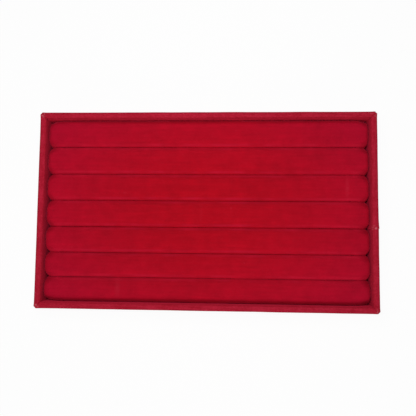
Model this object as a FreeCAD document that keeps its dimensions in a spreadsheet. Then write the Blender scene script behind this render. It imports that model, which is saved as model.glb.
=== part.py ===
"""Ring tray: a shallow velvet-covered box with a lift-out pad of seven ring rolls.

The tray's length runs along X and its depth along Y, with the back at +Y. The origin is the middle of the
underside, on the surface that the tray stands on. All sizes are in millimetres.
"""
import FreeCAD, Part
import math
import os
import re

import Sketcher

SIZES = {
    # The whole tray, over the velvet
    "tray_width": 240.0,
    "tray_depth": 140.0,
    "tray_height": 30.0,
    # Boards under the velvet
    "wall_board": 3.0,
    "base_thick": 2.5,
    "board_edge_radius": 0.8,
    "board_corner_radius": 1.8,
    # Brads that pin the long walls to the ends of the short ones
    "brad_diameter": 0.7,
    "brad_length": 12.0,
    "brad_margin": 7.0,
    "brad_sink": 0.3,
    "brad_clearance": 0.03,
    # Velvet on the walls, turned under the base, with its ends meeting on the right wall
    "velvet_thick": 0.6,
    "turn_in": 12.0,
    "seam_place": -12.0,
    "seam_gap": 0.3,
    # Felt under the tray and lining on its floor
    "felt_thick": 1.0,
    "felt_border": 3.0,
    "felt_corner_radius": 2.5,
    "felt_clearance": 0.3,
    "lining_thick": 0.4,
    "lining_clearance": 0.2,
    # Lift-out pad
    "pad_thick": 2.0,
    "pad_clearance": 0.5,
    # Ring rolls on the pad
    "roll_height": 20.0,
    "end_press": 4.0,
    "roll_gap": 0.3,
    "glue_line": 0.1,
    "sleeve_slit": 2.0,
    # How far every cutting shape runs past what it cuts
    "overrun": 1.0,
}

# Share of the pad's depth that each roll takes, from the back to the front
ROLL_DEPTH_SHARES = (0.153, 0.150, 0.145, 0.145, 0.141, 0.133, 0.133)
# Rise of a roll's arched top and radius of its shoulders, as shares of the roll's width
ARCH_RISE_SHARE = 0.37
SHOULDER_SHARE = 0.21
# Largest edge rounding, as a share of the board's thickness
EDGE_LIMIT_SHARE = 0.45

# Sizes worked out from the driving ones
EDGE_RADIUS = f"min(board_edge_radius; {EDGE_LIMIT_SHARE} * wall_board)"
WALL = "(wall_board + 2 * velvet_thick)"
FRAME_WIDTH = "(tray_width - 2 * velvet_thick)"
FRAME_DEPTH = "(tray_depth - 2 * velvet_thick)"
INSIDE_WIDTH = f"({FRAME_WIDTH} - 2 * wall_board)"
INSIDE_DEPTH = f"({FRAME_DEPTH} - 2 * wall_board)"
OPENING_WIDTH = f"(tray_width - 2 * {WALL})"
OPENING_DEPTH = f"(tray_depth - 2 * {WALL})"
FRAME_LEVEL = "(felt_thick + velvet_thick)"
FLOOR_LEVEL = f"({FRAME_LEVEL} + base_thick)"
PAD_LEVEL = f"({FLOOR_LEVEL} + lining_thick)"
ROLL_LEVEL = f"({PAD_LEVEL} + pad_thick)"
WALL_HEIGHT = f"(tray_height - velvet_thick - {FRAME_LEVEL})"
WINDOW_WIDTH = "(tray_width - 2 * turn_in)"
WINDOW_DEPTH = "(tray_depth - 2 * turn_in)"
PAD_WIDTH = f"({OPENING_WIDTH} - 2 * pad_clearance)"
PAD_DEPTH = f"({OPENING_DEPTH} - 2 * pad_clearance)"

doc = FreeCAD.newDocument("ring_tray")
sheet = doc.addObject("Spreadsheet::Sheet", "Sizes")


def fill_sheet():
    """Write each driving size into a cell that has its name as alias."""
    for row, (alias, size) in enumerate(SIZES.items(), start=1):
        sheet.set(f"A{row}", alias)
        sheet.set(f"B{row}", str(size))
        sheet.setAlias(f"B{row}", alias)
    doc.recompute()


def formula(text):
    """Put the sheet's name before each alias in a formula."""
    def with_sheet(word):
        return f"Sizes.{word.group()}" if word.group() in SIZES else word.group()

    return re.sub(r"[a-z_]+", with_sheet, text)


def measure(text):
    """The length that a formula gives now, in millimetres."""
    return float(sheet.evalExpression(formula(text)))


def bind(item, **formulas):
    """Tie properties of an object to formulas."""
    for name, text in formulas.items():
        item.setExpression(name, formula(text))


def place(item, x="0", y="0", z="0"):
    """Tie an object's position to formulas."""
    for axis, text in zip("xyz", (x, y, z)):
        item.setExpression(f"Placement.Base.{axis}", formula(text))


def add_sketch(body, name, plane, lift="0"):
    """Start a sketch on one of the body's own origin planes, raised along its normal."""
    support = next(item for item in body.Origin.OriginFeatures if item.Role == plane)
    sketch = body.newObject("Sketcher::SketchObject", name)
    sketch.AttachmentSupport = [(support, "")]
    sketch.MapMode = "FlatFace"
    sketch.setExpression("AttachmentOffset.Base.z", formula(lift))
    return sketch


def add_dimension(sketch, name, text, kind, *places):
    """Add a named dimension to a sketch and tie it to a formula."""
    index = sketch.addConstraint(Sketcher.Constraint(kind, *places, measure(text)))
    sketch.renameConstraint(index, name)
    sketch.setExpression(f"Constraints.{name}", formula(text))


def rectangle(body, name, width, depth, lift="0"):
    """Sketch a rectangle centred on the body's Z axis."""
    sketch = add_sketch(body, name, "XY_Plane", lift)
    x, y = measure(width) / 2, measure(depth) / 2
    corners = [FreeCAD.Vector(*at, 0) for at in ((-x, -y), (x, -y), (x, y), (-x, y))]
    for start, end in zip(corners, corners[1:] + corners[:1]):
        sketch.addGeometry(Part.LineSegment(start, end))
    for side in range(4):
        sketch.addConstraint(Sketcher.Constraint("Coincident", side, 2, (side + 1) % 4, 1))
        sketch.addConstraint(Sketcher.Constraint("Vertical" if side % 2 else "Horizontal", side))
    sketch.addConstraint(Sketcher.Constraint("Symmetric", 0, 1, 2, 1, -1, 1))
    add_dimension(sketch, "width", width, "DistanceX", 0, 1, 0, 2)
    add_dimension(sketch, "depth", depth, "DistanceY", 1, 1, 1, 2)
    return sketch


def pad(body, sketch, length, **settings):
    """Extrude a sketch of a body."""
    feature = body.newObject("PartDesign::Pad", f"{sketch.Name}_pad")
    feature.Profile = sketch
    for name, value in settings.items():
        setattr(feature, name, value)
    bind(feature, Length=length)
    doc.recompute()
    return feature


def pocket(body, sketch, depth):
    """Cut a sketch down into a body, and stop if it cuts nothing."""
    before = body.Shape.Volume
    feature = body.newObject("PartDesign::Pocket", f"{sketch.Name}_pocket")
    feature.Profile = sketch
    bind(feature, Length=depth)
    doc.recompute()
    if body.Shape.Volume >= before:
        raise RuntimeError(f"{feature.Name} cuts nothing")
    return feature


def fillet(body, name, radius, wanted):
    """Round the edges of a body's last feature that a test picks."""
    base = body.Tip
    edges = [f"Edge{n}" for n, edge in enumerate(base.Shape.Edges, start=1) if wanted(edge)]
    feature = body.newObject("PartDesign::Fillet", name)
    feature.Base = (base, edges)
    bind(feature, Radius=radius)
    doc.recompute()
    return feature


def spans(edge, axis):
    """How far an edge reaches along one axis."""
    return getattr(edge.BoundBox, f"{axis}Length")


def upright(edge):
    """Whether an edge stands straight up."""
    return spans(edge, "X") + spans(edge, "Y") < Part.Precision.confusion() < spans(edge, "Z")


def level_at(height):
    """A test for edges that lie flat at a height."""
    def wanted(edge):
        box = edge.BoundBox
        return abs(box.ZMin - height) + abs(box.ZMax - height) < Part.Precision.confusion()

    return wanted


def add_box(name, width, depth, height, x="0", y="0", z="0"):
    """A box that is centred on x and y and stands on z."""
    item = doc.addObject("Part::Box", name)
    bind(item, Length=width, Width=depth, Height=height)
    place(item, f"{x} - {width} / 2", f"{y} - {depth} / 2", z)
    return item


def add_cut(name, base, *tools):
    """Cut tools out of a base, one after another, and give the result the name."""
    for number, tool in enumerate(tools, start=1):
        step = doc.addObject("Part::Cut", name if number == len(tools) else f"{name}_step_{number}")
        step.Base = base
        step.Tool = tool
        base = step
    return base


def trough(name, width, depth, corner, bottom, top, opening_width, opening_depth, edge):
    """An open box with rounded corners and a rounded rim, whose floor ends at the floor level."""
    body = doc.addObject("PartDesign::Body", name)
    pad(body, rectangle(body, f"{name}_outside", width, depth, bottom), f"{top} - {bottom}")
    fillet(body, f"{name}_corners", corner, upright)
    hollow = rectangle(body, f"{name}_hollow", opening_width, opening_depth, top)
    pocket(body, hollow, f"{top} - {FLOOR_LEVEL}")
    fillet(body, f"{name}_rim", edge, level_at(measure(top)))
    return body


def make_wall_wrap():
    """One velvet strip over the walls, turned under the base, with a seam on the right wall."""
    outside = trough(
        "velvet_outside", "tray_width", "tray_depth", "board_corner_radius + velvet_thick",
        "felt_thick", "tray_height", OPENING_WIDTH, OPENING_DEPTH, f"{EDGE_RADIUS} + velvet_thick",
    )
    frame_room = trough(
        "frame_room", FRAME_WIDTH, FRAME_DEPTH, "board_corner_radius",
        FRAME_LEVEL, f"({FRAME_LEVEL} + {WALL_HEIGHT})", INSIDE_WIDTH, INSIDE_DEPTH, EDGE_RADIUS,
    )
    window = add_box("turn_in_window", WINDOW_WIDTH, WINDOW_DEPTH, FRAME_LEVEL)
    seam_reach = "(turn_in + 2 * overrun)"
    seam = add_box(
        "velvet_seam", seam_reach, "seam_gap", "(tray_height + overrun)",
        x="(tray_width - turn_in) / 2", y="seam_place",
    )
    return add_cut("wall_wrap", outside, frame_room, window, seam)


def wall_board(name, width, depth, x, y, rounded_corners):
    """A standing board whose top edges are rounded, with or without rounded outer corners."""
    body = doc.addObject("PartDesign::Body", name)
    pad(body, rectangle(body, f"{name}_foot", width, depth), WALL_HEIGHT)
    at_top = level_at(measure(WALL_HEIGHT))
    if rounded_corners:
        outward = math.copysign(1, measure(y))
        fillet(
            body, f"{name}_corners", "board_corner_radius",
            lambda edge: upright(edge) and outward * edge.CenterOfMass.y > 0,
        )
        fillet(body, f"{name}_edges", EDGE_RADIUS, at_top)
    else:
        fillet(
            body, f"{name}_edges", EDGE_RADIUS,
            lambda edge: at_top(edge) and spans(edge, "Y") > spans(edge, "X"),
        )
    place(body, x, y, FRAME_LEVEL)
    return body


def brad_rods(name, radius, length, start):
    """Two rods at each corner, driven through the long walls into the ends of the short ones."""
    rods = []
    for outward in (1, -1):
        for side in (1, -1):
            for height in ("brad_margin", f"{WALL_HEIGHT} - brad_margin"):
                rod = doc.addObject("Part::Cylinder", f"{name}_{len(rods) + 1}")
                bind(rod, Radius=radius, Height=length)
                rod.Placement.Rotation = FreeCAD.Rotation(FreeCAD.Vector(1, 0, 0), 90 * outward)
                place(
                    rod, f"{side} * ({FRAME_WIDTH} - wall_board) / 2",
                    f"{outward} * ({FRAME_DEPTH} / 2 + {start})", f"{FRAME_LEVEL} + {height}",
                )
                rods.append(rod)
    group = doc.addObject("Part::Compound", name)
    group.Links = rods
    return group


def make_frame():
    """The base board, the four wall boards with their drilled holes, and the brads in them."""
    base = add_box("base_board", INSIDE_WIDTH, INSIDE_DEPTH, "base_thick", z=FRAME_LEVEL)
    brads = brad_rods("corner_brads", "brad_diameter / 2", "brad_length", "(0 - brad_sink)")
    holes = brad_rods(
        "brad_holes", "(brad_diameter / 2 + brad_clearance)",
        "(brad_length + brad_sink + brad_clearance + overrun)", "overrun",
    )
    middle_x = f"({FRAME_WIDTH} - wall_board) / 2"
    middle_y = f"({FRAME_DEPTH} - wall_board) / 2"
    boards = {
        "front_wall": (FRAME_WIDTH, "wall_board", "0", f"0 - {middle_y}", True),
        "back_wall": (FRAME_WIDTH, "wall_board", "0", middle_y, True),
        "left_wall": ("wall_board", INSIDE_DEPTH, f"0 - {middle_x}", "0", False),
        "right_wall": ("wall_board", INSIDE_DEPTH, middle_x, "0", False),
    }
    walls = [
        add_cut(name, wall_board(f"{name}_blank", *sizes), holes) for name, sizes in boards.items()
    ]
    return [base, *walls, brads]


def make_linings():
    """The lining on the tray's floor, and the felt under the tray with its step into the window."""
    lining = add_box(
        "floor_lining", f"({OPENING_WIDTH} - 2 * lining_clearance)",
        f"({OPENING_DEPTH} - 2 * lining_clearance)", "lining_thick", z=FLOOR_LEVEL,
    )
    felt = doc.addObject("PartDesign::Body", "base_felt")
    sheet_outline = rectangle(
        felt, "felt_sheet", "tray_width - 2 * felt_border", "tray_depth - 2 * felt_border"
    )
    pad(felt, sheet_outline, "felt_thick")
    fillet(felt, "felt_corners", "felt_corner_radius", upright)
    step_outline = rectangle(
        felt, "felt_step", f"{WINDOW_WIDTH} - 2 * felt_clearance",
        f"{WINDOW_DEPTH} - 2 * felt_clearance", "felt_thick",
    )
    pad(felt, step_outline, "velvet_thick")
    return [lining, felt]


def half_arch(body, name, lift, width, height, rise, shoulder):
    """Sketch half of a roll's section: flat bottom, upright side, shoulder arc and crown arc."""
    sketch = add_sketch(body, name, "YZ_Plane", lift)
    half, top, side = measure(width) / 2, measure(height), measure(height) - measure(rise)
    small = measure(shoulder)
    reach = half - small
    large = (reach ** 2 + (top - side) ** 2 - small ** 2) / (2 * (top - side - small))
    turn = math.atan2(side - (top - large), reach)
    normal = FreeCAD.Vector(0, 0, 1)

    def arc(x, y, radius, start, end):
        circle = Part.Circle(FreeCAD.Vector(x, y, 0), normal, radius)
        return Part.ArcOfCircle(circle, start, end)

    def line(*ends):
        return Part.LineSegment(*(FreeCAD.Vector(*end, 0) for end in ends))

    sketch.addGeometry([
        line((0, 0), (half, 0)),
        line((half, 0), (half, side)),
        arc(reach, side, small, 0, turn),
        arc(0, top - large, large, turn, math.pi / 2),
        line((0, top), (0, 0)),
    ])
    bottom, upright_side, shoulder_arc, crown, middle = range(5)
    start, end, centre = 1, 2, 3
    # A sketch counts its own upright axis as -2 and its origin as -1
    rules = [
        ("Coincident", bottom, start, -1, start),
        ("Horizontal", bottom),
        ("Coincident", bottom, end, upright_side, start),
        ("Vertical", upright_side),
        ("Tangent", upright_side, end, shoulder_arc, start),
        ("Tangent", shoulder_arc, end, crown, start),
        ("PointOnObject", crown, end, -2),
        ("PointOnObject", crown, centre, -2),
        ("Coincident", crown, end, middle, start),
        ("Coincident", middle, end, bottom, start),
    ]
    for kind, *places in rules:
        sketch.addConstraint(Sketcher.Constraint(kind, *places))
    add_dimension(sketch, "half_width", f"{width} / 2", "DistanceX", bottom, start, bottom, end)
    add_dimension(sketch, "side", f"{height} - {rise}", "DistanceY", upright_side, start, upright_side, end)
    add_dimension(sketch, "height", height, "DistanceY", middle, end, middle, start)
    add_dimension(sketch, "shoulder", shoulder, "Radius", shoulder_arc)
    return sketch


def roll_body(name, roll_width, middle, inset):
    """A padded roll whose round ends are pressed flat by the walls, smaller by an inset on every side."""
    body = doc.addObject("PartDesign::Body", f"{name}_bolster")
    section = (
        f"({roll_width} - 2 * {inset})", f"(roll_height - 2 * {inset})",
        f"({ARCH_RISE_SHARE} * {roll_width} - {inset})", f"({SHOULDER_SHARE} * {roll_width} - {inset})",
    )
    straight = f"({PAD_WIDTH} + 2 * end_press - {roll_width})"
    half = pad(body, half_arch(body, f"{name}_section", "0", *section), straight, SideType="Symmetric")
    whole = body.newObject("PartDesign::Mirrored", f"{name}_halves")
    whole.Originals = [half]
    whole.MirrorPlane = (next(item for item in body.Origin.OriginFeatures if item.Role == "XZ_Plane"), [""])
    body.Tip = whole
    for end, side in (("right", 1), ("left", -1)):
        profile = half_arch(body, f"{name}_{end}_section", f"{side} * {straight} / 2", *section)
        dome = body.newObject("PartDesign::Revolution", f"{name}_{end}_end")
        dome.Profile = profile
        dome.ReferenceAxis = (profile, ["V_Axis"])
        dome.Angle = 180
        dome.Reversed = side > 0
        doc.recompute()
    place(body, y=middle, z=f"{ROLL_LEVEL} + {inset}")
    room = add_box(
        f"{name}_room", f"({PAD_WIDTH} - 2 * {inset})", roll_width, "roll_height", y=middle, z=ROLL_LEVEL
    )
    pressed = doc.addObject("Part::Common", name)
    pressed.Base = body
    pressed.Tool = room
    return pressed


def make_rolls():
    """The foam cores and their velvet sleeves, which are open along a slit underneath."""
    cores, covers = [], []
    taken = 0
    for number, depth_share in enumerate(ROLL_DEPTH_SHARES, start=1):
        share = depth_share / sum(ROLL_DEPTH_SHARES)
        roll_width = f"({share} * {PAD_DEPTH} - roll_gap)"
        middle = f"({PAD_DEPTH} * {0.5 - taken - share / 2})"
        taken += share
        outside = roll_body(f"sleeve_{number}_outside", roll_width, middle, "0")
        inside = roll_body(f"sleeve_{number}_inside", roll_width, middle, "velvet_thick")
        slit = add_box(
            f"sleeve_{number}_slit", f"({PAD_WIDTH} - {roll_width})", "sleeve_slit",
            "(velvet_thick + overrun)", y=middle, z=f"{ROLL_LEVEL} - overrun / 2",
        )
        covers.append(add_cut(f"roll_cover_{number}", outside, inside, slit))
        inset = "(velvet_thick + glue_line)"
        cores.append(roll_body(f"roll_core_{number}", roll_width, middle, inset))
    return cores + covers


def write_parts(parts):
    """Check every object and sub-part, then write one file for each sub-part."""
    doc.recompute()
    failed = [item.Name for item in doc.Objects if {"Invalid", "Error"} & set(item.State)]
    if failed:
        raise RuntimeError(f"these objects failed: {failed}")
    for part in parts:
        if part.Shape.isNull() or not part.Shape.isValid() or not part.Shape.Solids:
            raise RuntimeError(f"{part.Label} has no sound solid")
    os.makedirs("parts", exist_ok=True)
    for part in parts:
        part.Shape.exportStep(f"parts/{part.Label}.step")
        box = part.Shape.BoundBox
        print(
            f"{part.Label}: {len(part.Shape.Solids)} solids, {part.Shape.Volume:.1f} mm3, "
            f"z {box.ZMin:.2f} to {box.ZMax:.2f}"
        )


fill_sheet()
pad_board = add_box("pad_board", PAD_WIDTH, PAD_DEPTH, "pad_thick", z=PAD_LEVEL)
write_parts([*make_frame(), make_wall_wrap(), *make_linings(), pad_board, *make_rolls()])
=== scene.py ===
"""Dresses the packed ring tray in red velvet and sets it on a white stage."""
import math
from contextlib import contextmanager

import bmesh
import bpy
from bpy.props import FloatProperty, FloatVectorProperty, IntProperty, PointerProperty
from mathutils import Euler, Matrix, Vector, noise


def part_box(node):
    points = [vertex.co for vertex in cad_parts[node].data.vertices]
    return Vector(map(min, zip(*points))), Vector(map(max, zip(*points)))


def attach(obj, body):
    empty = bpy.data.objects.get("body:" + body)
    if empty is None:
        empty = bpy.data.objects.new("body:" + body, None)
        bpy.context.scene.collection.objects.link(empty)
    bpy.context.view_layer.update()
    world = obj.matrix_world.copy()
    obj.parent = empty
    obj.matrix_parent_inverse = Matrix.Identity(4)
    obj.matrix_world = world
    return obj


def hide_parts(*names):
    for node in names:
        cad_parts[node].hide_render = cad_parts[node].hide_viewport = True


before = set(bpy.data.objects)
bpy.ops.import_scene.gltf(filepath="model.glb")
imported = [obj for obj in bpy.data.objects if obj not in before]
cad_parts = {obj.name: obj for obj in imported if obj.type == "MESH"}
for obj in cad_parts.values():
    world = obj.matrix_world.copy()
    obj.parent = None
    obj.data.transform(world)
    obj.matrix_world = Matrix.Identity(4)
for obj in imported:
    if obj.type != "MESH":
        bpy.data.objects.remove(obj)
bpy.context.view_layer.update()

bl_info = {
    "name": "Velvet Ring Tray",
    "version": (1, 0, 0),
    "blender": (4, 5, 0),
    "location": "3D View > Sidebar > Ring Tray",
    "description": "Dresses a ring tray and its lift-out pad in velvet and sets it on a white stage",
    "category": "Add Mesh",
}

# Places read from the frame, in metres
WRAP_LOW, WRAP_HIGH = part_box("wall_wrap")
VELVET = WRAP_HIGH.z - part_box("left_wall")[1].z
WELL = Vector((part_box("right_wall")[0].x - VELVET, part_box("back_wall")[0].y - VELVET))
WELL_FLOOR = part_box("base_board")[1].z
FELT_TOP = WRAP_LOW.z
ROLL_COUNT = sum(name.startswith("roll_cover_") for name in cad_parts)
CORNERS = [(x, y) for x in (-1, 1) for y in (-1, 1)]
UP = Vector((0, 0, 1))
WHITE = (1, 1, 1, 1)

# Tests of a mesh: slack for rounding, and how far up a level face's normal and an upright one's point
SLACK = 1e-6
LEVEL_NORMAL = 0.9
UPRIGHT_NORMAL = 0.1

# Finer cuts: beside a corner fold in half widths of its groove, and beside the seam in ragged steps
FOLD_CUTS = (0, 1, -1, 2, -2, 4, -4, 6, -6)
SEAM_CUTS = (-2, -1, 0, 1, 2, 4, 8)

# How many times its size a roll is while it is stuffed, because the cloth settings suit larger cloth
SIM_SCALE = 20.0

# The attribute of a roll's mesh that holds its painted shade: each roll's far side darker and its near
# side lighter, as light from the near side makes them
SHADE_ATTRIBUTE = "pile_lean"

# Marks in the pile of the rolls: middle and half size along X and Y, in metres, and strength
NAP_MARKS = (
    (-0.0615, -0.0555, 0.0024, 0.0092, 0.25),
    (0.0995, 0.0164, 0.0019, 0.0092, 0.30),
    (-0.0029, -0.0026, 0.0014, 0.0085, 0.09),
    (0.0183, 0.0018, 0.0008, 0.0008, 0.40),
    (0.0277, -0.0368, 0.0008, 0.0008, 0.40),
    (-0.0577, 0.0121, 0.0016, 0.0008, 0.30),
    (-0.0951, -0.0269, 0.0008, 0.0008, 0.40),
    (0.0215, 0.0571, 0.0007, 0.0007, 0.35),
)
# Places on the rim where the pile is rubbed off, written the same way
WORN_SPOTS = (
    (-0.1182, 0.0676, 0.0009, 0.0009, 0.9),
    (-0.1172, 0.0667, 0.0010, 0.0009, 0.5),
    (-0.1168, 0.0688, 0.0009, 0.0008, 0.45),
    (-0.1180, -0.0675, 0.0010, 0.0009, 0.9),
    (-0.1167, -0.0685, 0.0010, 0.0007, 0.4),
    (0.1178, -0.0686, 0.0008, 0.0008, 0.8),
    (0.1177, -0.0672, 0.0008, 0.0016, 0.2),
    (0.1160, 0.0686, 0.0016, 0.0008, 0.3),
    (0.1183, 0.0668, 0.0009, 0.0012, 0.3),
    (0.1177, -0.0117, 0.0012, 0.0010, 1.0),
    (0.1164, -0.0100, 0.0013, 0.0007, 0.2),
    (0.1156, -0.0112, 0.0009, 0.0007, 0.35),
    (0.1156, -0.0126, 0.0009, 0.0007, 0.35),
)


# Kinds of setting


def length(name, description, default):
    """A length in metres."""
    return FloatProperty(name=name, description=description, default=default, unit="LENGTH", precision=5)


def share(name, description, default):
    """A plain number, such as a weight or a strength."""
    return FloatProperty(name=name, description=description, default=default, precision=3)


def angle(name, description, degrees):
    """An angle, given in degrees."""
    radians = math.radians(degrees)
    return FloatProperty(name=name, description=description, default=radians, unit="ROTATION")


def power(name, description, default):
    """A lamp's power in watts."""
    return FloatProperty(name=name, description=description, default=default, unit="POWER")


def position(name, description, default):
    """A place in metres."""
    return FloatVectorProperty(name=name, description=description, default=default, subtype="TRANSLATION")


def colour(name, description, default):
    """A linear colour."""
    return FloatVectorProperty(
        name=name, description=description, default=default, size=3, min=0, max=1, subtype="COLOR"
    )


class WrapSizes(bpy.types.PropertyGroup):
    """Sizes of the velvet strip that covers the walls."""

    rim_width: length("Rim width", "Wall board with velvet on both sides", WRAP_HIGH.x - WELL.x)
    rim_radius: length("Rim radius", "Rounding of the two edges of the rim", 0.0014)
    corner_radius: length("Corner radius", "Rounding of the outer upright corners", 0.0024)
    hem_radius: length("Hem radius", "Rounding where the velvet turns under the tray", 0.0007)
    turn_in: length("Turn-in", "Width of the velvet that is glued under the base", 0.012)
    cut_spacing: length("Cut spacing", "Distance between the cuts that let the velvet wander", 0.005)
    level_spacing: length("Level spacing", "Height between the level cuts of the outer faces", 0.004)
    wander: length("Wander", "How far the velvet stands off its boards in places", 0.00022)
    wander_size: length("Wander size", "Length of one wave of the velvet", 0.016)
    fold_height: length("Fold height", "How far the velvet bunches up beside a corner fold", 0.0008)
    fold_groove: length("Fold groove", "Half width of the groove in a corner fold", 0.00045)
    fold_spread: length("Fold spread", "How far the bunched velvet reaches from the fold", 0.0017)
    fold_drop: length("Fold drop", "How far a corner fold reaches down the inner faces", 0.006)
    seam_place: length("Seam place", "Where the ends of the strip meet on the right wall", -0.012)
    lap_height: length("Lap height", "Step where one end of the strip lies over the other", 0.0004)
    lap_reach: length("Lap reach", "Length of the end that lies on top", 0.004)
    lap_ragged: length("Lap ragged", "How unevenly the end of the strip is cut", 0.0003)
    lap_wave: length("Lap wave", "Length of one wave of the ragged end", 0.0012)
    # Painted light and shade on the inner faces: how far below the rim it starts and is full, and how
    # much lighter (above nought) or darker (below nought) each inner face is painted than the rim
    well_paint_start: length("Brush start", "How far below the rim the pile starts to be brushed", 0.0008)
    well_paint_full: length("Brush full", "How far below the rim it is brushed all the way", 0.0050)
    left_painted_shade: share("Left brush", "How much brighter the left inner face is than the rim", -0.22)
    right_painted_shade: share("Right brush", "How much brighter the right inner face is than the rim", -0.09)
    near_painted_light: share("Near brush", "How much brighter the near inner face is than the rim", 0.22)
    far_painted_light: share("Far brush", "How much brighter the far inner face is than the rim", 0.62)
    smooth_angle: angle("Smooth angle", "Edges sharper than this stay sharp", 50)


class RollSizes(bpy.types.PropertyGroup):
    """Sizes of the padded rolls."""

    shoulder: length("Shoulder", "Rounding of a roll's upper edges before it is stuffed", 0.0024)
    end_round: length("End round", "Corner radius of a roll's ends, seen from above", 0.0112)
    squeeze: length("Squeeze", "How far its neighbours or the long walls press a roll in", 0.0034)
    end_press: length("End press", "How far the short walls press a roll's ends in", 0.0016)
    headroom: length("Headroom", "How much lower than its place a roll is before it is stuffed", 0.0007)
    swell: length("Swell", "How far the stuffing may push the velvet out", 0.0009)
    foam_cover: length("Foam cover", "Least thickness of the velvet over the foam", 0.0003)
    side_play: length("Side play", "How far a roll may press past its CAD cover on its sides", 0.00005)
    end_play: length("End play", "How far a roll may press past its CAD cover at its ends", 0.0002)
    voxel: length("Voxel", "Mesh size for the stuffing", 0.0014)
    pressure: share("Pressure", "Pressure of the stuffing, at the scale of the simulation", 4.0)
    frames: IntProperty(name="Frames", description="Length of the simulation", default=20, min=2)
    wall_sink: length("Wall sink", "How far a roll falls away where it meets a long wall", 0.0031)
    wall_spread: length("Wall spread", "How far from the long wall it starts to fall away", 0.0020)
    end_sink: length("End sink", "How far a roll's end falls away where it meets a short wall", 0.0016)
    end_spread: length("End spread", "How far from the short wall it starts to fall away", 0.0010)
    crease_sink: length("Crease sink", "How far a roll falls away where it meets the next one", 0.0001)
    crease_spread: length("Crease spread", "How far from the crease it starts to fall away", 0.00045)
    corner_sink: length("Corner sink", "How far the corners of a roll's ends fall away", 0.0029)
    corner_length: length("Corner length", "How far along the roll its corners fall away", 0.0072)
    corner_width: length("Corner width", "How far across the roll its corners fall away", 0.0027)
    # Painted shade across the rolls: how strong it is, and how far from the long walls it fades out
    across_roll_shade: share("Nap lean", "How much the pile's lean darkens the far side of the nearest roll", 0.13)
    across_roll_shade_fade: length("Nap fade", "How far from the long walls the pile stands up straight", 0.008)
    wander: length("Wander", "Unevenness of the stuffed velvet", 0.00018)
    wander_size: length("Wander size", "Length of one wave of the unevenness", 0.022)
    smooth_angle: angle("Smooth angle", "Edges sharper than this stay sharp", 35)


class LiningSizes(bpy.types.PropertyGroup):
    """Sizes of the two flat sheets."""

    edge: length("Edge", "Rounding of the cut edges", 0.00012)
    felt_corner: length("Felt corner", "Corner radius of the felt under the tray", 0.0025)
    cut_spacing: length("Cut spacing", "Distance between the cuts that let a sheet undulate", 0.01)
    undulation: length("Undulation", "How far a glued sheet rises and falls", 0.00006)
    smooth_angle: angle("Smooth angle", "Edges sharper than this stay sharp", 40)


class GrainSizes(bpy.types.PropertyGroup):
    """Sizes of the grains in the materials."""

    patch: length("Patch", "Wide patches of leaning pile on the rolls", 0.055)
    blotch: length("Blotch", "Smaller patches of leaning pile on the rolls", 0.007)
    stroke: length("Stroke", "Width of the lengthwise strokes on the rolls", 0.0016)
    # Painted sheen beside the creases: width of its patches, and the distances from a crease where it
    # starts, is palest, fades and ends
    painted_sheen_band: length("Rub", "Width of the rubbed patches beside the creases", 0.004)
    painted_sheen_start: length("Rub start", "Distance from a crease where the rub starts", 0.0005)
    painted_sheen_full: length("Rub full", "Distance from a crease where the rub is palest", 0.0011)
    painted_sheen_fade: length("Rub fade", "Distance from a crease where the rub fades", 0.0014)
    painted_sheen_end: length("Rub end", "Distance from a crease where the rub ends", 0.0028)
    mark: length("Mark", "Grain that breaks up the brushed marks", 0.0015)
    tip: length("Tip", "Tips of the pile that catch the light", 0.0011)
    pile: length("Pile", "Bumps of the pile", 0.00035)
    streak: length("Streak", "Width of the streaks along the walls", 0.0013)
    strip_blotch: length("Strip blotch", "Blotches on the walls", 0.0045)
    fleck: length("Fleck", "Grain that breaks up the worn spots", 0.0009)
    flock: length("Flock", "Patches of the floor flock", 0.0008)
    flock_fibre: length("Flock fibre", "Bumps of the floor flock", 0.0003)
    felt_fibre: length("Felt fibre", "Matted fibres of the felt", 0.0012)
    foam_cell: length("Foam cell", "Cells of the foam", 1 / 1400)
    wire_line: length("Wire line", "Lines along the brads", 0.0002)


class TrayColours(bpy.types.PropertyGroup):
    """Linear colours of the tray's materials."""

    roll_heart: colour("Roll velvet, heart", "Pile in the middle of the pad", (0.400, 0.0015, 0.0093))
    # Painted sheen: the edge colour turns the pile pinker towards the pad's corners
    roll_edge: colour("Roll velvet, edge", "Pinker pile at the pad's corners", (0.400, 0.0024, 0.0225))
    roll_sheen: colour("Roll sheen", "Sheen of the rolls", (1.0, 0.05, 0.14))
    # Painted sheen: the paler, pinker tone painted beside the creases
    sheen_painted: colour("Rubbed pile", "Pile beside the creases, rubbed paler", (0.45, 0.0052, 0.0250))
    brushed: colour("Brushed pile", "Marks where the pile is brushed the other way", (0.52, 0.020, 0.045))
    wall_deep: colour("Wall velvet, deep", "Pile that leans away", (0.340, 0.0058, 0.0190))
    wall_bright: colour("Wall velvet, bright", "Pile that leans to the light", (0.460, 0.0142, 0.0385))
    wall_sheen: colour("Wall sheen", "Sheen of the walls", (1.0, 0.03, 0.10))
    worn: colour("Worn pile", "Pale cloth where the pile is rubbed off", (0.62, 0.130, 0.165))
    flock: colour("Floor flock", "Flocked sheet on the floor", (0.20, 0.0040, 0.0120))
    felt: colour("Base felt", "Felt under the tray", (0.085, 0.0060, 0.0110))
    fibreboard: colour("Fibreboard", "Wall and base boards", (0.31, 0.205, 0.115))
    greyboard: colour("Greyboard", "Board under the rolls", (0.33, 0.315, 0.285))
    foam: colour("Foam", "Rods inside the rolls", (0.78, 0.72, 0.55))
    steel: colour("Steel", "Brads in the corners", (0.56, 0.56, 0.57))


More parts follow.
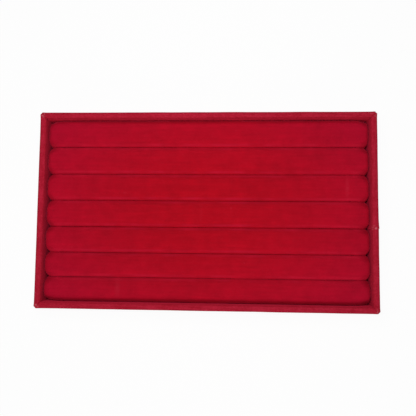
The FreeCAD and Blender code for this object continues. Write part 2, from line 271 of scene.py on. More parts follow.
class StageSettings(bpy.types.PropertyGroup):
    """The camera, the light and the floor."""

    lens: FloatProperty(name="Lens", description="Focal length", default=38.942, unit="CAMERA")
    eye: position("Eye", "Place of the camera", (0.01723, -0.0205, 0.34414))
    turn: FloatVectorProperty(
        name="Turn", description="Turn of the camera from straight down",
        default=[math.radians(degrees) for degrees in (4.014, 2.697, 0.579)], subtype="EULER",
    )
    fill: share("Fill", "Strength of the even light from all round", 0.29)
    key_power: power("Key power", "Power of the soft lamp above", 0.61)
    key_size: length("Key size", "Width of the soft lamp above", 0.12)
    key_place: position("Key place", "Place of the soft lamp above", (-0.0125, 0.0418, 0.33))
    front_power: power("Front power", "Power of the lamp in front", 1.7)
    front_size: length("Front size", "Width of the lamp in front", 0.4)
    front_place: position("Front place", "Place of the lamp in front", (0, -0.8, 0.55))
    floor_size: length("Floor size", "Width of the floor", 6.0)
    floor_gap: length("Floor gap", "How far the floor lies below the felt", 0.0001)
    shadow: share("Shadow", "How strongly the floor shows the tray's shadow", 0.05)


# Modelling helpers


def add_block(name, low, high):
    """A box from corner to corner, alone in the selection, with its place in its mesh."""
    bpy.ops.object.select_all(action="DESELECT")
    bpy.ops.mesh.primitive_cube_add(size=1, location=(low + high) / 2, scale=high - low)
    bpy.ops.object.transform_apply(location=True, rotation=True, scale=True)
    block = bpy.context.object
    block.name = block.data.name = name
    return block


@contextmanager
def editing(piece):
    """Edit mode on one piece."""
    bpy.context.view_layer.objects.active = piece
    bpy.ops.object.mode_set(mode="EDIT")
    yield
    bpy.ops.object.mode_set(mode="OBJECT")


def pick(piece, kind, wanted):
    """Select the faces or edges of the edited mesh that pass a test, and nothing else."""
    bpy.ops.mesh.select_mode(type={"faces": "FACE", "edges": "EDGE"}[kind])
    bpy.ops.mesh.select_all(action="DESELECT")
    mesh = bmesh.from_edit_mesh(piece.data)
    for item in getattr(mesh, kind):
        if wanted(item):
            item.select_set(True)
    bmesh.update_edit_mesh(piece.data)


def round_edges(piece, wanted, radius, segments):
    """Bevel the edges that pass a test."""
    pick(piece, "edges", wanted)
    bpy.ops.mesh.bevel(offset=radius, segments=segments, affect="EDGES", clamp_overlap=False)


def cut(piece, place, direction, wanted=lambda face: True):
    """Cut the faces that pass a test along a plane."""
    pick(piece, "faces", wanted)
    bpy.ops.mesh.bisect(plane_co=place, plane_no=direction)


def cut_evenly(piece, axis, low, high, spacing):
    """Cut a piece across an axis at even steps."""
    steps = max(2, round((high - low) / spacing))
    for step in range(1, steps):
        place, direction = Vector(), Vector()
        place[axis] = low + (high - low) * step / steps
        direction[axis] = 1
        cut(piece, place, direction)


def near(value, goal):
    """True where two lengths are the same but for rounding."""
    return abs(value - goal) < SLACK


def stands_up(edge):
    """True for an edge whose ends lie at different levels."""
    return not near(edge.verts[0].co.z, edge.verts[1].co.z)


def at_level(edge, level):
    """True for an edge that lies at a level, between a level face and an upright one."""
    upright = [abs(face.normal.z) < UPRIGHT_NORMAL for face in edge.link_faces]
    return all(near(vert.co.z, level) for vert in edge.verts) and sorted(upright) == [False, True]


def reaches(edge, level):
    """True for an edge with an end at a level."""
    return any(near(vert.co.z, level) for vert in edge.verts)


def looks_up(face):
    """True for a level face on the upper side."""
    return face.normal.z > LEVEL_NORMAL


def apply_modifier(piece, kind, **settings):
    """Add a modifier, set it and apply it."""
    bpy.context.view_layer.objects.active = piece
    modifier = piece.modifiers.new(kind.title(), kind)
    for name, value in settings.items():
        setattr(modifier, name, value)
    bpy.ops.object.modifier_apply(modifier=modifier.name)


def smooth(piece, limit):
    """Smooth shading, with edges sharper than a limit kept."""
    bpy.ops.object.select_all(action="DESELECT")
    piece.select_set(True)
    bpy.context.view_layer.objects.active = piece
    bpy.ops.object.shade_smooth_by_angle(angle=limit)


def bell(value, width):
    """One at zero, and falling off smoothly with distance."""
    return math.exp(-((value / width) ** 2))


def wave(place, size):
    """Smooth noise from minus one to one."""
    return noise.noise(place / size)


def rise(place, size):
    """Smooth noise from nought to one."""
    return (1 + wave(place, size)) / 2


def settle(piece, body, slot, material, *nodes):
    """Give a finished piece its material and its body, and hide the CAD nodes that it stands for. The
    slot is not used.
    """
    piece.data.materials.clear()
    piece.data.materials.append(material)
    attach(piece, body)
    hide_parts(*nodes)


# Materials


class Nodes:
    """A node tree, with short ways to add its nodes."""

    def __init__(self, tree):
        self.tree = tree

    def node(self, kind, *inputs, **settings):
        """A node with its first inputs linked or set in order."""
        made = self.tree.nodes.new(kind)
        for name, value in settings.items():
            setattr(made, name, value)
        for socket, value in zip(made.inputs, inputs):
            self.feed(socket, value)
        return made

    def feed(self, socket, value):
        """Link a socket to another, or set it."""
        if isinstance(value, bpy.types.NodeSocket):
            self.tree.links.new(value, socket)
        elif value is not None:
            socket.default_value = value

    def sums(self, operation, first, second=None, third=None):
        """A Math node's result."""
        return self.node("ShaderNodeMath", first, second, third, operation=operation).outputs[0]

    def weigh(self, *parts):
        """The sum of values times their weights."""
        total = 0.0
        for value, weight in parts:
            total = self.sums("MULTIPLY_ADD", value, weight, total)
        return total

    def either(self, mask, first, second):
        """The first value where a mask is nought, and the second where it is one."""
        return self.sums("MULTIPLY_ADD", self.sums("SUBTRACT", second, first), mask, first)

    def between(self, value, low, high, start=0.0, end=1.0):
        """A value's way from low to high as a number from start to end."""
        return self.node("ShaderNodeMapRange", value, low, high, start, end).outputs[0]


class Finish(Nodes):
    """A procedural material, with short ways to add its patterns."""

    def __init__(self, name, sockets):
        self.material = bpy.data.materials.new(name)
        self.material.use_nodes = True
        super().__init__(self.material.node_tree)
        self.grains = bpy.context.scene.grain_sizes
        self.shader = self.tree.nodes["Principled BSDF"]
        for socket, value in sockets.items():
            self.shader.inputs[socket].default_value = value
        self.place = self.node("ShaderNodeTexCoord").outputs["Object"]

    def along(self, axis):
        """The place along one axis."""
        return self.node("ShaderNodeSeparateXYZ", self.place).outputs[axis]

    def apart(self, axis):
        """The distance from the middle of the tray along one axis."""
        return self.sums("ABSOLUTE", self.along(axis))

    def grain(self, size, detail=2.0, stretch=(1, 1, 1)):
        """Noise whose grains are about as large as a size, stretched along the axes."""
        mapped = self.node("ShaderNodeMapping", self.place)
        mapped.inputs["Scale"].default_value = [1 / (size * along) for along in stretch]
        made = self.node("ShaderNodeTexNoise")
        self.feed(made.inputs["Vector"], mapped.outputs[0])
        made.inputs["Scale"].default_value = 1.0
        made.inputs["Detail"].default_value = detail
        return made.outputs["Fac"]

    def blend(self, factor, first, second):
        """A mix of two colours."""
        made = self.node("ShaderNodeMix", data_type="RGBA")
        sockets = [socket for socket in made.inputs if socket.type == "RGBA"]
        self.feed(made.inputs["Factor"], factor)
        for socket, value in zip(sockets, (first, second)):
            self.feed(socket, value if isinstance(value, bpy.types.NodeSocket) else (*value, 1))
        return next(socket for socket in made.outputs if socket.type == "RGBA")

    def vector(self, operation, first, second=None, output=0):
        """A Vector Math node's result."""
        return self.node("ShaderNodeVectorMath", first, second, operation=operation).outputs[output]

    def spot(self, middle, half_size, rim):
        """One in the heart of an oval, and nought from its outline outwards."""
        offset = self.vector("SUBTRACT", self.place, middle)
        scaled = self.vector("DIVIDE", offset, half_size)
        return self.between(self.vector("LENGTH", scaled, output="Value"), 1.0, rim)

    def shade(self, value, tone):
        """A colour made lighter or darker."""
        made = self.node("ShaderNodeHueSaturation")
        self.feed(made.inputs["Value"], value)
        self.feed(made.inputs["Color"], tone)
        return made.outputs[0]

    def paint(self, value):
        """The base colour."""
        self.feed(self.shader.inputs["Base Color"], value)

    def emboss(self, height, depth, strength):
        """Bump from a height between nought and one."""
        made = self.node("ShaderNodeBump")
        made.inputs["Strength"].default_value = strength
        made.inputs["Distance"].default_value = depth
        self.feed(made.inputs["Height"], height)
        self.feed(self.shader.inputs["Normal"], made.outputs[0])


def darker(tone, left):
    """A colour with only a part of its light left."""
    return [value * left for value in tone]


def velvet_finish(name, tint, weight, roughness):
    """A finish of matt pile with a tinted sheen."""
    return Finish(name, {
        "Roughness": 0.95,
        "Specular IOR Level": 0.08,
        "Sheen Weight": weight,
        "Sheen Roughness": roughness,
        "Sheen Tint": (*tint, 1),
    })


def pile_tips(finish):
    """Where single tips of the pile catch the light."""
    return finish.between(finish.grain(finish.grains.tip), low=0.45, high=0.75)


def emboss_pile(finish):
    """The tips of the pile."""
    finish.emboss(finish.grain(finish.grains.pile), depth=0.0002, strength=0.35)


def spots(finish, table, level, reach, rim):
    """The ovals of a table added up, each as strong as it says."""
    parts = []
    for x, y, half_width, half_depth, strength in table:
        parts.append((finish.spot((x, y, level), (half_width, half_depth, reach), rim), strength))
    return finish.weigh(*parts)


def pile_patches(finish):
    """How bright the leaning pile is: wide patches, smaller ones and lengthwise strokes."""
    wide = finish.grain(finish.grains.patch)
    small = finish.grain(finish.grains.blotch, detail=3.0)
    strokes = finish.grain(finish.grains.stroke, stretch=(14, 1, 1))
    total = finish.weigh((small, 0.4), (wide, 0.3), (strokes, 0.3))
    return finish.between(total, low=0.3, high=0.7, start=0.82, end=1.18)


def painted_edge_sheen(finish):
    """How much painted sheen turns the pile pinker: nought in the middle of the pad and one at its
    corners.
    """
    half_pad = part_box("pad_board")[1]
    at_ends, at_sides = 0.59, 0.41
    reach = (half_pad.x / math.sqrt(at_ends), half_pad.y / math.sqrt(at_sides), 1)
    level = finish.vector("MULTIPLY", finish.place, (1, 1, 0))
    scaled = finish.vector("DIVIDE", level, reach)
    return finish.vector("DOT_PRODUCT", scaled, scaled, output="Value")


def nap_marks(finish):
    """How strongly the pile is brushed the other way."""
    any_height = 1.0
    marks = spots(finish, NAP_MARKS, level=0.0, reach=any_height, rim=0.2)
    broken = finish.between(finish.grain(finish.grains.mark), low=0.3, high=0.6, start=0.4)
    return finish.sums("MULTIPLY", marks, broken)


def painted_crease_sheen(finish):
    """How much painted sheen lightens the pile beside the creases, in patches."""
    grains = finish.grains
    across = finish.along("Y")
    nearest = WELL.y
    for number in range(1, ROLL_COUNT):
        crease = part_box(f"roll_cover_{number}")[0].y
        distance = finish.sums("ABSOLUTE", finish.sums("SUBTRACT", across, crease))
        nearest = finish.sums("MINIMUM", distance, nearest)
    inner_side = finish.between(nearest, grains.painted_sheen_start, grains.painted_sheen_full)
    outer_side = finish.between(nearest, grains.painted_sheen_end, grains.painted_sheen_fade)
    sheen_patches = finish.grain(grains.painted_sheen_band, stretch=(3, 1, 1))
    patches = finish.between(sheen_patches, low=0.35, high=0.65, start=0.15, end=0.9)
    return finish.sums("MULTIPLY", finish.sums("MULTIPLY", inner_side, outer_side), patches)


def roll_velvet(colours):
    """Velvet of the rolls, with painted sheen that turns it pinker towards the edges of the pad and paler
    beside the creases, and painted shade across each roll.
    """
    finish = velvet_finish("roll_velvet", colours.roll_sheen, weight=0.3, roughness=0.4)
    # Painted sheen, pinker towards the edges of the pad
    tone = finish.blend(painted_edge_sheen(finish), colours.roll_heart, colours.roll_edge)
    # Painted sheen beside the creases
    tone = finish.blend(painted_crease_sheen(finish), tone, colours.sheen_painted)
    # Painted shade across each roll, read from the mesh
    painted_shade = finish.node("ShaderNodeAttribute", attribute_name=SHADE_ATTRIBUTE).outputs["Fac"]
    tone = finish.shade(finish.sums("MULTIPLY", pile_patches(finish), painted_shade), tone)
    brushed = finish.weigh((nap_marks(finish), 1.0), (pile_tips(finish), 0.09))
    finish.paint(finish.blend(brushed, tone, colours.brushed))
    emboss_pile(finish)
    return finish.material


def short_walls(finish):
    """One on the short walls, up to the mitres, and nought on the long ones."""
    past_mitre = finish.sums("SUBTRACT", finish.apart("X"), WELL.x - WELL.y)
    return finish.sums("GREATER_THAN", past_mitre, finish.apart("Y"))


def inner_faces(finish, sizes):
    """How strongly the painted light and shade apply: nought on the rim and outside, and one deep in the
    well.
    """
    past_ends = finish.sums("SUBTRACT", finish.apart("X"), WELL.x)
    past_sides = finish.sums("SUBTRACT", finish.apart("Y"), WELL.y)
    inside = finish.sums("LESS_THAN", finish.sums("MAXIMUM", past_ends, past_sides), sizes.rim_width / 2)
    starts, ends = WRAP_HIGH.z - sizes.well_paint_start, WRAP_HIGH.z - sizes.well_paint_full
    return finish.sums("MULTIPLY", inside, finish.between(finish.along("Z"), starts, ends))


def painted_well_light_and_shade(finish, sizes):
    """Painted light and shade: each wall's inner face painted lighter or darker than the rim, more so
    deeper in the well.
    """
    on_short = finish.between(finish.along("X"), -WELL.x, WELL.x, sizes.left_painted_shade, sizes.right_painted_shade)
    on_long = finish.between(finish.along("Y"), -WELL.y, WELL.y, sizes.near_painted_light, sizes.far_painted_light)
    painted_tone = finish.either(short_walls(finish), on_long, on_short)
    return finish.sums("MULTIPLY_ADD", painted_tone, inner_faces(finish, sizes), 1.0)


def strip_streaks(finish):
    """How the pile of the strip leans: streaks along each wall, blotches and single tips."""
    long_streaks = finish.grain(finish.grains.streak, stretch=(12, 1, 1))
    short_streaks = finish.grain(finish.grains.streak, stretch=(1, 12, 1))
    streaks = finish.either(short_walls(finish), long_streaks, short_streaks)
    blotches = finish.grain(finish.grains.strip_blotch, detail=3.0)
    total = finish.weigh((streaks, 1.0), (blotches, 0.9), (pile_tips(finish), 0.5))
    return finish.between(total, low=0.70, high=1.38)


def worn_places(finish):
    """Flecks where the pile is rubbed off: on the corners of the rim and at the seam."""
    worn = spots(finish, WORN_SPOTS, level=WRAP_HIGH.z, reach=0.004, rim=0.4)
    flecks = finish.between(finish.grain(finish.grains.fleck), low=0.36, high=0.56, start=0.5)
    return finish.sums("MULTIPLY", worn, flecks)


def wall_velvet(colours, sizes):
    """Velvet of the walls, streaked along the strip, worn at its corners and its seam, with painted light
    and shade on the inner faces.
    """
    finish = velvet_finish("wall_velvet", colours.wall_sheen, weight=0.4, roughness=0.45)
    tone = finish.blend(strip_streaks(finish), colours.wall_deep, colours.wall_bright)
    # Painted light and shade on the inner faces of the walls
    tone = finish.shade(painted_well_light_and_shade(finish, sizes), tone)
    finish.paint(finish.blend(worn_places(finish), tone, colours.worn))
    emboss_pile(finish)
    return finish.material


def flocked_sheet(colours):
    """Short even flock."""
    finish = Finish("floor_flock", {"Roughness": 1.0, "Specular IOR Level": 0.05})
    patches = finish.grain(finish.grains.flock, detail=3.0)
    finish.paint(finish.blend(patches, darker(colours.flock, left=0.8), colours.flock))
    finish.emboss(finish.grain(finish.grains.flock_fibre), depth=0.0001, strength=0.4)
    return finish.material


def pressed_felt(colours):
    """Matted fibres."""
    finish = Finish("base_felt", {"Roughness": 1.0, "Specular IOR Level": 0.05})
    fibres = finish.grain(finish.grains.felt_fibre, detail=6.0)
    matted = finish.between(fibres, low=0.3, high=0.7)
    finish.paint(finish.blend(matted, darker(colours.felt, left=0.6), colours.felt))
    finish.emboss(fibres, depth=0.0004, strength=0.6)
    return finish.material


def pressed_board(name, tone, speck_size, contrast):
    """Board of pressed fibres, with specks."""
    finish = Finish(name, {"Roughness": 0.85, "Specular IOR Level": 0.2})
    fibres = finish.grain(speck_size, detail=5.0, stretch=(2.5, 2.5, 1))
    specks = finish.between(fibres, low=0.35, high=0.65)
    finish.paint(finish.blend(specks, darker(tone, left=1 - contrast), tone))
    finish.emboss(fibres, depth=0.0001, strength=0.3)
    return finish.material


def open_foam(colours):
    """Foam with open cells."""
    finish = Finish("roll_foam", {"Roughness": 0.95, "Specular IOR Level": 0.1})
    cells = finish.node("ShaderNodeTexVoronoi")
    finish.feed(cells.inputs["Vector"], finish.place)
    cells.inputs["Scale"].default_value = 1 / finish.grains.foam_cell
    finish.paint(finish.blend(cells.outputs["Distance"], darker(colours.foam, left=0.55), colours.foam))
    finish.emboss(cells.outputs["Distance"], depth=0.0003, strength=0.6)
    return finish.material


def drawn_steel(colours):
    """Bright wire with faint lengthwise lines."""
    finish = Finish("brad_steel", {"Metallic": 1.0, "Roughness": 0.35})
    lines = finish.grain(finish.grains.wire_line, stretch=(1, 12, 1))
    finish.paint(finish.blend(lines, darker(colours.steel, left=0.75), colours.steel))
    return finish.material


# Velvet over the walls


def hollow_out(piece, sizes):
    """Open the block's well and its underside, so that one strip of velvet is left."""
    pick(piece, "faces", looks_up)
    bpy.ops.mesh.inset(thickness=sizes.rim_width)
    bpy.ops.mesh.extrude_region_move(TRANSFORM_OT_translate={"value": (0, 0, WELL_FLOOR - WRAP_HIGH.z)})
    bpy.ops.mesh.delete(type="FACE")
    pick(piece, "faces", lambda face: face.normal.z < -LEVEL_NORMAL)
    bpy.ops.mesh.inset(thickness=sizes.turn_in)
    bpy.ops.mesh.delete(type="FACE")


def faces_out(edge):
    """True for an edge of a face that looks away from the middle of the tray."""
    least = 0.01
    return any(face.normal.xy.dot(face.calc_center_median().xy) > least for face in edge.link_faces)


def on_outer_corner(edge):
    """True for the four upright edges of the outside."""
    outermost = [near(abs(v.co.x), WRAP_HIGH.x) and near(abs(v.co.y), WRAP_HIGH.y) for v in edge.verts]
    return all(outermost) and stands_up(edge)


def round_strip(piece, sizes):
    """Round the upright corners, both edges of the rim and the hem."""

    def outer_rim(edge):
        return at_level(edge, WRAP_HIGH.z) and faces_out(edge)

    def inner_rim(edge):
        return at_level(edge, WRAP_HIGH.z) and not faces_out(edge)

    round_edges(piece, on_outer_corner, sizes.corner_radius, segments=6)
    round_edges(piece, outer_rim, sizes.rim_radius, segments=5)
    round_edges(piece, inner_rim, sizes.rim_radius, segments=5)
    round_edges(piece, lambda edge: at_level(edge, WRAP_LOW.z), sizes.hem_radius, segments=3)


def cut_strip(piece, sizes):
    """Cuts that let the velvet wander, and finer ones beside the corner folds and the seam."""
    cut_evenly(piece, 0, WRAP_LOW.x, WRAP_HIGH.x, sizes.cut_spacing)
    cut_evenly(piece, 1, WRAP_LOW.y, WRAP_HIGH.y, sizes.cut_spacing)
    cut_evenly(piece, 2, WRAP_LOW.z, WRAP_HIGH.z, sizes.level_spacing)
    for x, y in CORNERS:
        across = Vector((x, -y, 0)).normalized()
        inner = Vector((x * WELL.x, y * WELL.y, 0))

        def beside(face):
            middle = face.calc_center_median()
            return middle.x * x > WELL.x - sizes.fold_drop and middle.y * y > WELL.y - sizes.fold_drop

        for steps in FOLD_CUTS:
            cut(piece, inner + across * steps * sizes.fold_groove, across, beside)
    for steps in SEAM_CUTS:
        place = Vector((0, sizes.seam_place + steps * sizes.lap_ragged, 0))
        cut(piece, place, (0, 1, 0), lambda face: face.calc_center_median().x > WELL.x - sizes.turn_in)


def fold_rise(place, sizes):
    """How far the velvet bunches up beside the fold of the nearest corner."""
    x, y = math.copysign(1, place.x), math.copysign(1, place.y)
    off = Vector((place.x * x - WELL.x, place.y * y - WELL.y))
    side = (off.x - off.y) / math.sqrt(2)
    ridges = (1 - bell(side, sizes.fold_groove)) * bell(side, sizes.fold_spread)
    inward = max(0.0, -min(off))
    depth = bell(WRAP_HIGH.z - place.z, sizes.fold_drop)
    return sizes.fold_height * ridges * depth * bell(inward, sizes.fold_spread)


def lap_rise(place, sizes):
    """How far the top end of the strip stands over the other end at the seam."""
    if place.x < WELL.x - sizes.turn_in:
        return 0.0
    ragged = wave(Vector((place.x, 0, place.z)), sizes.lap_wave)
    along = place.y - sizes.seam_place - ragged * sizes.lap_ragged
    if along < 0:
        return 0.0
    return sizes.lap_height * max(0.0, 1 - along / sizes.lap_reach)


def shape_strip(piece, sizes):
    """Move the velvet off its boards: gentle waves, corner folds and the lap of the seam."""
    normals = [vert.normal.copy() for vert in piece.data.vertices]
    for vert, normal in zip(piece.data.vertices, normals):
        waves = sizes.wander * rise(vert.co, sizes.wander_size)
        fold = fold_rise(vert.co, sizes) * max(0.0, normal.z)
        out = waves + fold + lap_rise(vert.co, sizes)
        if vert.co.z > FELT_TOP + sizes.hem_radius:
            vert.co += normal * out
    piece.data.update()


class RING_TRAY_OT_wrap_walls(bpy.types.Operator):
    """Cover the walls with one strip of velvet"""

    bl_idname = "ring_tray.wrap_walls"
    bl_label = "Wrap the walls"

    def execute(self, context):
        sizes = context.scene.wrap_sizes
        piece = add_block("wall_velvet", WRAP_LOW, WRAP_HIGH)
        with editing(piece):
            hollow_out(piece, sizes)
            round_strip(piece, sizes)
            cut_strip(piece, sizes)
        shape_strip(piece, sizes)
        apply_modifier(piece, "SOLIDIFY", thickness=VELVET, offset=-1, use_even_offset=True)
        smooth(piece, sizes.smooth_angle)
        velvet = wall_velvet(context.scene.tray_colours, sizes)
        settle(piece, "tray", "wall_velvet", velvet, "wall_wrap")
        return {"FINISHED"}


# Padded rolls


def roll_blank(name, low, high, sizes):
    """A rounded box, lower than the roll's place and larger all round it."""
    spare = Vector((sizes.end_press, sizes.squeeze, 0))
    top = high.z - sizes.headroom
    piece = add_block(name, low - spare, Vector((high.x, high.y, top)) + spare)
    with editing(piece):
        round_edges(piece, stands_up, sizes.end_round, segments=8)
        round_edges(piece, lambda edge: at_level(edge, top), sizes.shoulder, segments=6)
    return piece


def stuff(piece, sizes):
    """Swell a roll with cloth under pressure, glued down along its underside."""
    scene = bpy.context.scene
    scene.frame_set(1)
    piece.data.transform(Matrix.Scale(SIM_SCALE, 4))
    voxel = sizes.voxel * SIM_SCALE
    apply_modifier(piece, "REMESH", mode="VOXEL", voxel_size=voxel)
    starts = [vert.co.copy() for vert in piece.data.vertices]
    bottom = min(start.z for start in starts)
    glued = piece.vertex_groups.new(name="glued")
    glued.add([i for i, start in enumerate(starts) if start.z < bottom + voxel], 1, "REPLACE")
    cloth = piece.modifiers.new("Stuffing", "CLOTH")
    cloth.settings.use_pressure = True
    cloth.settings.uniform_pressure_force = sizes.pressure
    cloth.settings.effector_weights.gravity = 0
    cloth.settings.vertex_group_mass = glued.name
    cloth.point_cache.frame_end = sizes.frames
    for step in range(1, sizes.frames + 1):
        scene.frame_set(step)
    bpy.context.view_layer.objects.active = piece
    bpy.ops.object.modifier_apply(modifier=cloth.name)
    scene.frame_set(1)
    limit = sizes.swell * SIM_SCALE
    for vert, start in zip(piece.data.vertices, starts):
        move = vert.co - start
        if move.length > limit:
            vert.co = start + move * (limit / move.length)
    piece.vertex_groups.clear()
    piece.data.transform(Matrix.Scale(1 / SIM_SCALE, 4))


def keep_inside(piece, low, high):
    """Flatten a roll where it presses on its neighbours, the walls and the board."""
    for vert in piece.data.vertices:
        vert.co = [min(max(part, least), most) for part, least, most in zip(vert.co, low, high)]
    piece.data.update()


def wander_over(piece, low, sizes):
    """Small unevenness of the stuffed velvet, the same on both sides of a crease."""
    for vert in piece.data.vertices:
        if vert.co.z > low.z + sizes.shoulder:
            vert.co.z += sizes.wander * wave(vert.co, sizes.wander_size)
    piece.data.update()


def sink_edges(piece, low, high, sizes):
    """Let a roll fall away at the walls and the creases, and further at the corners of its ends."""
    for vert in piece.data.vertices:
        to_end = WELL.x - abs(vert.co.x)
        to_wall = WELL.y - abs(vert.co.y)
        to_side = min(vert.co.y - low.y, high.y - vert.co.y)
        corner = bell(to_end, sizes.corner_length) * bell(to_side, sizes.corner_width)
        fall = max(
            sizes.wall_sink * bell(to_wall, sizes.wall_spread),
            sizes.end_sink * bell(to_end, sizes.end_spread),
            sizes.crease_sink * bell(to_side, sizes.crease_spread),
        ) + sizes.corner_sink * corner
        height = (vert.co.z - low.z) / (high.z - low.z)
        vert.co.z -= fall * height * height
    piece.data.update()


def paint_shade_across_roll(piece, low, high, sizes):
    """Note the painted shade across a roll: its far side darker and its near side lighter, most in the
    near rolls and fading out at the long walls.
    """
    middle, half = (low.y + high.y) / 2, (high.y - low.y) / 2
    painted_shades = piece.data.attributes.new(SHADE_ATTRIBUTE, "FLOAT", "POINT")
    for vert, painted_shade in zip(piece.data.vertices, painted_shades.data):
        across = (vert.co.y - middle) / half
        nearness = (WELL.y - vert.co.y) / (2 * WELL.y)
        upright = bell(WELL.y - abs(vert.co.y), sizes.across_roll_shade_fade)
        painted_shade.value = 1 - sizes.across_roll_shade * nearness * (1 - upright) * across * math.sqrt(abs(across))


class RING_TRAY_OT_stuff_rolls(bpy.types.Operator):
    """Make the padded velvet rolls of the ring pad"""

    bl_idname = "ring_tray.stuff_rolls"
    bl_label = "Stuff the rolls"

    def execute(self, context):
        sizes = context.scene.roll_sizes
        velvet = roll_velvet(context.scene.tray_colours)
        play = Vector((sizes.end_play, sizes.side_play, 0))
        for number in range(1, ROLL_COUNT + 1):
            node = f"roll_cover_{number}"
            low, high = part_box(node)
            piece = roll_blank(f"velvet_roll_{number}", low, high, sizes)
            stuff(piece, sizes)
            apply_modifier(piece, "SUBSURF", levels=1, render_levels=1)
            wander_over(piece, low, sizes)
            keep_inside(piece, low - play, high + play + UP * sizes.swell)
            sink_edges(piece, low, high, sizes)
            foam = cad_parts[f"roll_core_{number}"]
            apply_modifier(piece, "SHRINKWRAP", target=foam, wrap_mode="OUTSIDE", offset=sizes.foam_cover)
            paint_shade_across_roll(piece, low, high, sizes)
            smooth(piece, sizes.smooth_angle)
            settle(piece, "ring_pad", "roll_velvet", velvet, node)
        return {"FINISHED"}


# Flat sheets


def undulate(piece, level, sizes):
    """Let the upper side of a sheet sink a little in places."""
    for vert in piece.data.vertices:
        if near(vert.co.z, level):
            vert.co.z -= sizes.undulation * rise(vert.co, sizes.cut_spacing)
    piece.data.update()


class RING_TRAY_OT_lay_floor_lining(bpy.types.Operator):
    """Lay the flocked sheet on the floor of the tray"""

    bl_idname = "ring_tray.lay_floor_lining"
    bl_label = "Lay the floor lining"

    def execute(self, context):
        sizes = context.scene.lining_sizes
        low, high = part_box("floor_lining")
        piece = add_block("floor_flock", low, high)
        with editing(piece):
            round_edges(piece, lambda edge: reaches(edge, high.z), sizes.edge, segments=3)
            cut_evenly(piece, 0, low.x, high.x, sizes.cut_spacing)
            cut_evenly(piece, 1, low.y, high.y, sizes.cut_spacing)
        undulate(piece, high.z, sizes)
        smooth(piece, sizes.smooth_angle)
        settle(piece, "tray", "floor_flock", flocked_sheet(context.scene.tray_colours), "floor_lining")
        return {"FINISHED"}


class RING_TRAY_OT_lay_base_felt(bpy.types.Operator):
    """Glue the felt under the tray"""

    bl_idname = "ring_tray.lay_base_felt"
    bl_label = "Lay the base felt"

    def execute(self, context):
        sizes = context.scene.lining_sizes
        low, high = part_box("base_felt")
        border = low.x - (WRAP_LOW.x + context.scene.wrap_sizes.turn_in)
        piece = add_block("felt_sheet", low, Vector((high.x, high.y, FELT_TOP)))

        def on_rim(edge):
            return at_level(edge, FELT_TOP) or at_level(edge, low.z)

        with editing(piece):
            round_edges(piece, stands_up, sizes.felt_corner, segments=6)
            pick(piece, "faces", looks_up)
            bpy.ops.mesh.inset(thickness=abs(border) + sizes.edge)
            bpy.ops.mesh.extrude_region_move(TRANSFORM_OT_translate={"value": (0, 0, high.z - FELT_TOP)})
            round_edges(piece, on_rim, sizes.edge, segments=2)
            cut_evenly(piece, 0, low.x, high.x, sizes.cut_spacing)
            cut_evenly(piece, 1, low.y, high.y, sizes.cut_spacing)
        undulate(piece, high.z, sizes)
        smooth(piece, sizes.smooth_angle)
        settle(piece, "tray", "base_felt", pressed_felt(context.scene.tray_colours), "base_felt")
        return {"FINISHED"}


# Boards, foam and brads


class RING_TRAY_OT_finish_boards(bpy.types.Operator):
    """Give the boards, foam rods and brads their materials"""

    bl_idname = "ring_tray.finish_boards"
    bl_label = "Finish the boards"

    def execute(self, context):
        colours = context.scene.tray_colours
        fibreboard = pressed_board("fibreboard", colours.fibreboard, speck_size=0.0008, contrast=0.35)
        greyboard = pressed_board("greyboard", colours.greyboard, speck_size=0.0012, contrast=0.3)
        finishes = {name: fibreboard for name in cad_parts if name.endswith("_wall")}
        finishes["base_board"] = fibreboard
        finishes["pad_board"] = greyboard
        finishes["corner_brads"] = drawn_steel(colours)
        foam = open_foam(colours)
        finishes.update({f"roll_core_{number}": foam for number in range(1, ROLL_COUNT + 1)})
        for name, material in finishes.items():
            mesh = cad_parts[name].data
            mesh.materials.clear()
            mesh.materials.append(material)
        return {"FINISHED"}


# Stage


def seen_or_mirrored(nodes):
    """One for rays from the camera and for mirrored or refracted ones."""
    path = nodes.node("ShaderNodeLightPath").outputs
    direct = nodes.sums("MAXIMUM", path["Is Camera Ray"], path["Is Glossy Ray"])
    return nodes.sums("MAXIMUM", direct, path["Is Transmission Ray"])


def white_floor(shadow):
    """White to the eye, with a share of the real shade left in."""
    finish = Finish("white_floor", {"Roughness": 1.0, "Specular IOR Level": 0.0})
    dim, bright = (0.93, 0.93, 0.93), (0.95, 0.95, 0.95)
    finish.paint(finish.blend(finish.grain(size=0.4), dim, bright))
    glow = finish.node("ShaderNodeEmission", WHITE, 1.0).outputs[0]
    factor = finish.sums("MULTIPLY", seen_or_mirrored(finish), 1 - shadow)
    mixed = finish.node("ShaderNodeMixShader", factor, finish.shader.outputs[0], glow)
    finish.feed(finish.tree.nodes["Material Output"].inputs["Surface"], mixed.outputs[0])
    return finish.material


def white_world(fill):
    """Even light from all round, and white where the camera sees it."""
    world = bpy.data.worlds.new("white_surround")
    world.use_nodes = True
    nodes = Nodes(world.node_tree)
    background = nodes.tree.nodes["Background"].inputs
    nodes.feed(background["Color"], WHITE)
    nodes.feed(background["Strength"], nodes.between(seen_or_mirrored(nodes), 0.0, 1.0, start=fill))
    return world


def add_lamp(name, place, direction, watts, size):
    """A soft lamp that shines in a direction."""
    turn = Vector(direction).to_track_quat("-Z", "Y").to_euler()
    bpy.ops.object.light_add(type="AREA", location=place, rotation=turn)
    lamp = bpy.context.object
    lamp.name = name
    lamp.data.energy = watts
    lamp.data.size = size


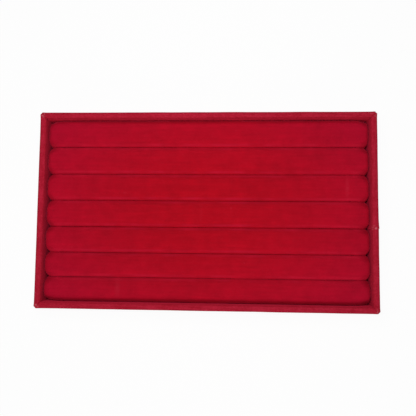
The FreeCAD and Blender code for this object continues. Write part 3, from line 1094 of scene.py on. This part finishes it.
class RING_TRAY_OT_set_stage(bpy.types.Operator):
    """Set up the floor, the light and the camera"""

    bl_idname = "ring_tray.set_stage"
    bl_label = "Set the stage"

    def execute(self, context):
        scene, stage = context.scene, context.scene.stage_settings
        bpy.ops.object.select_all(action="DESELECT")
        bpy.ops.mesh.primitive_plane_add(size=stage.floor_size, location=(0, 0, -stage.floor_gap))
        bpy.ops.object.transform_apply(location=True)
        floor = context.object
        floor.name = "floor"
        floor.data.materials.append(white_floor(stage.shadow))
        add_lamp("key_lamp", stage.key_place, -UP, stage.key_power, stage.key_size)
        add_lamp("front_lamp", stage.front_place, -stage.front_place, stage.front_power, stage.front_size)
        scene.world = white_world(stage.fill)
        bpy.ops.object.camera_add(location=stage.eye, rotation=Euler(stage.turn))
        context.object.name = "camera"
        context.object.data.lens = stage.lens
        scene.camera = context.object
        scene.view_settings.view_transform = "Standard"
        return {"FINISHED"}


class RING_TRAY_PT_build(bpy.types.Panel):
    """Lists the settings and the steps of the build"""

    bl_label = "Ring Tray"
    bl_idname = "RING_TRAY_PT_build"
    bl_space_type = "VIEW_3D"
    bl_region_type = "UI"
    bl_category = "Ring Tray"

    def draw(self, context):
        for step in STEPS:
            self.layout.operator(step.bl_idname)
        for name, group in SETTINGS.items():
            box = self.layout.box()
            box.label(text=group.__doc__)
            for setting in group.__annotations__:
                box.prop(getattr(context.scene, name), setting)


SETTINGS = {
    "wrap_sizes": WrapSizes,
    "roll_sizes": RollSizes,
    "lining_sizes": LiningSizes,
    "grain_sizes": GrainSizes,
    "tray_colours": TrayColours,
    "stage_settings": StageSettings,
}
STEPS = (
    RING_TRAY_OT_wrap_walls,
    RING_TRAY_OT_stuff_rolls,
    RING_TRAY_OT_lay_floor_lining,
    RING_TRAY_OT_lay_base_felt,
    RING_TRAY_OT_finish_boards,
    RING_TRAY_OT_set_stage,
)


def register():
    for group in SETTINGS.values():
        bpy.utils.register_class(group)
    for name, group in SETTINGS.items():
        setattr(bpy.types.Scene, name, PointerProperty(type=group))
    for step in (*STEPS, RING_TRAY_PT_build):
        bpy.utils.register_class(step)


def unregister():
    for step in (RING_TRAY_PT_build, *reversed(STEPS)):
        bpy.utils.unregister_class(step)
    for name, group in SETTINGS.items():
        delattr(bpy.types.Scene, name)
        bpy.utils.unregister_class(group)


def main():
    """Build everything in order."""
    register()
    for step in STEPS:
        group, name = step.bl_idname.split(".")
        getattr(getattr(bpy.ops, group), name)()


if __name__ == "__main__":
    main()
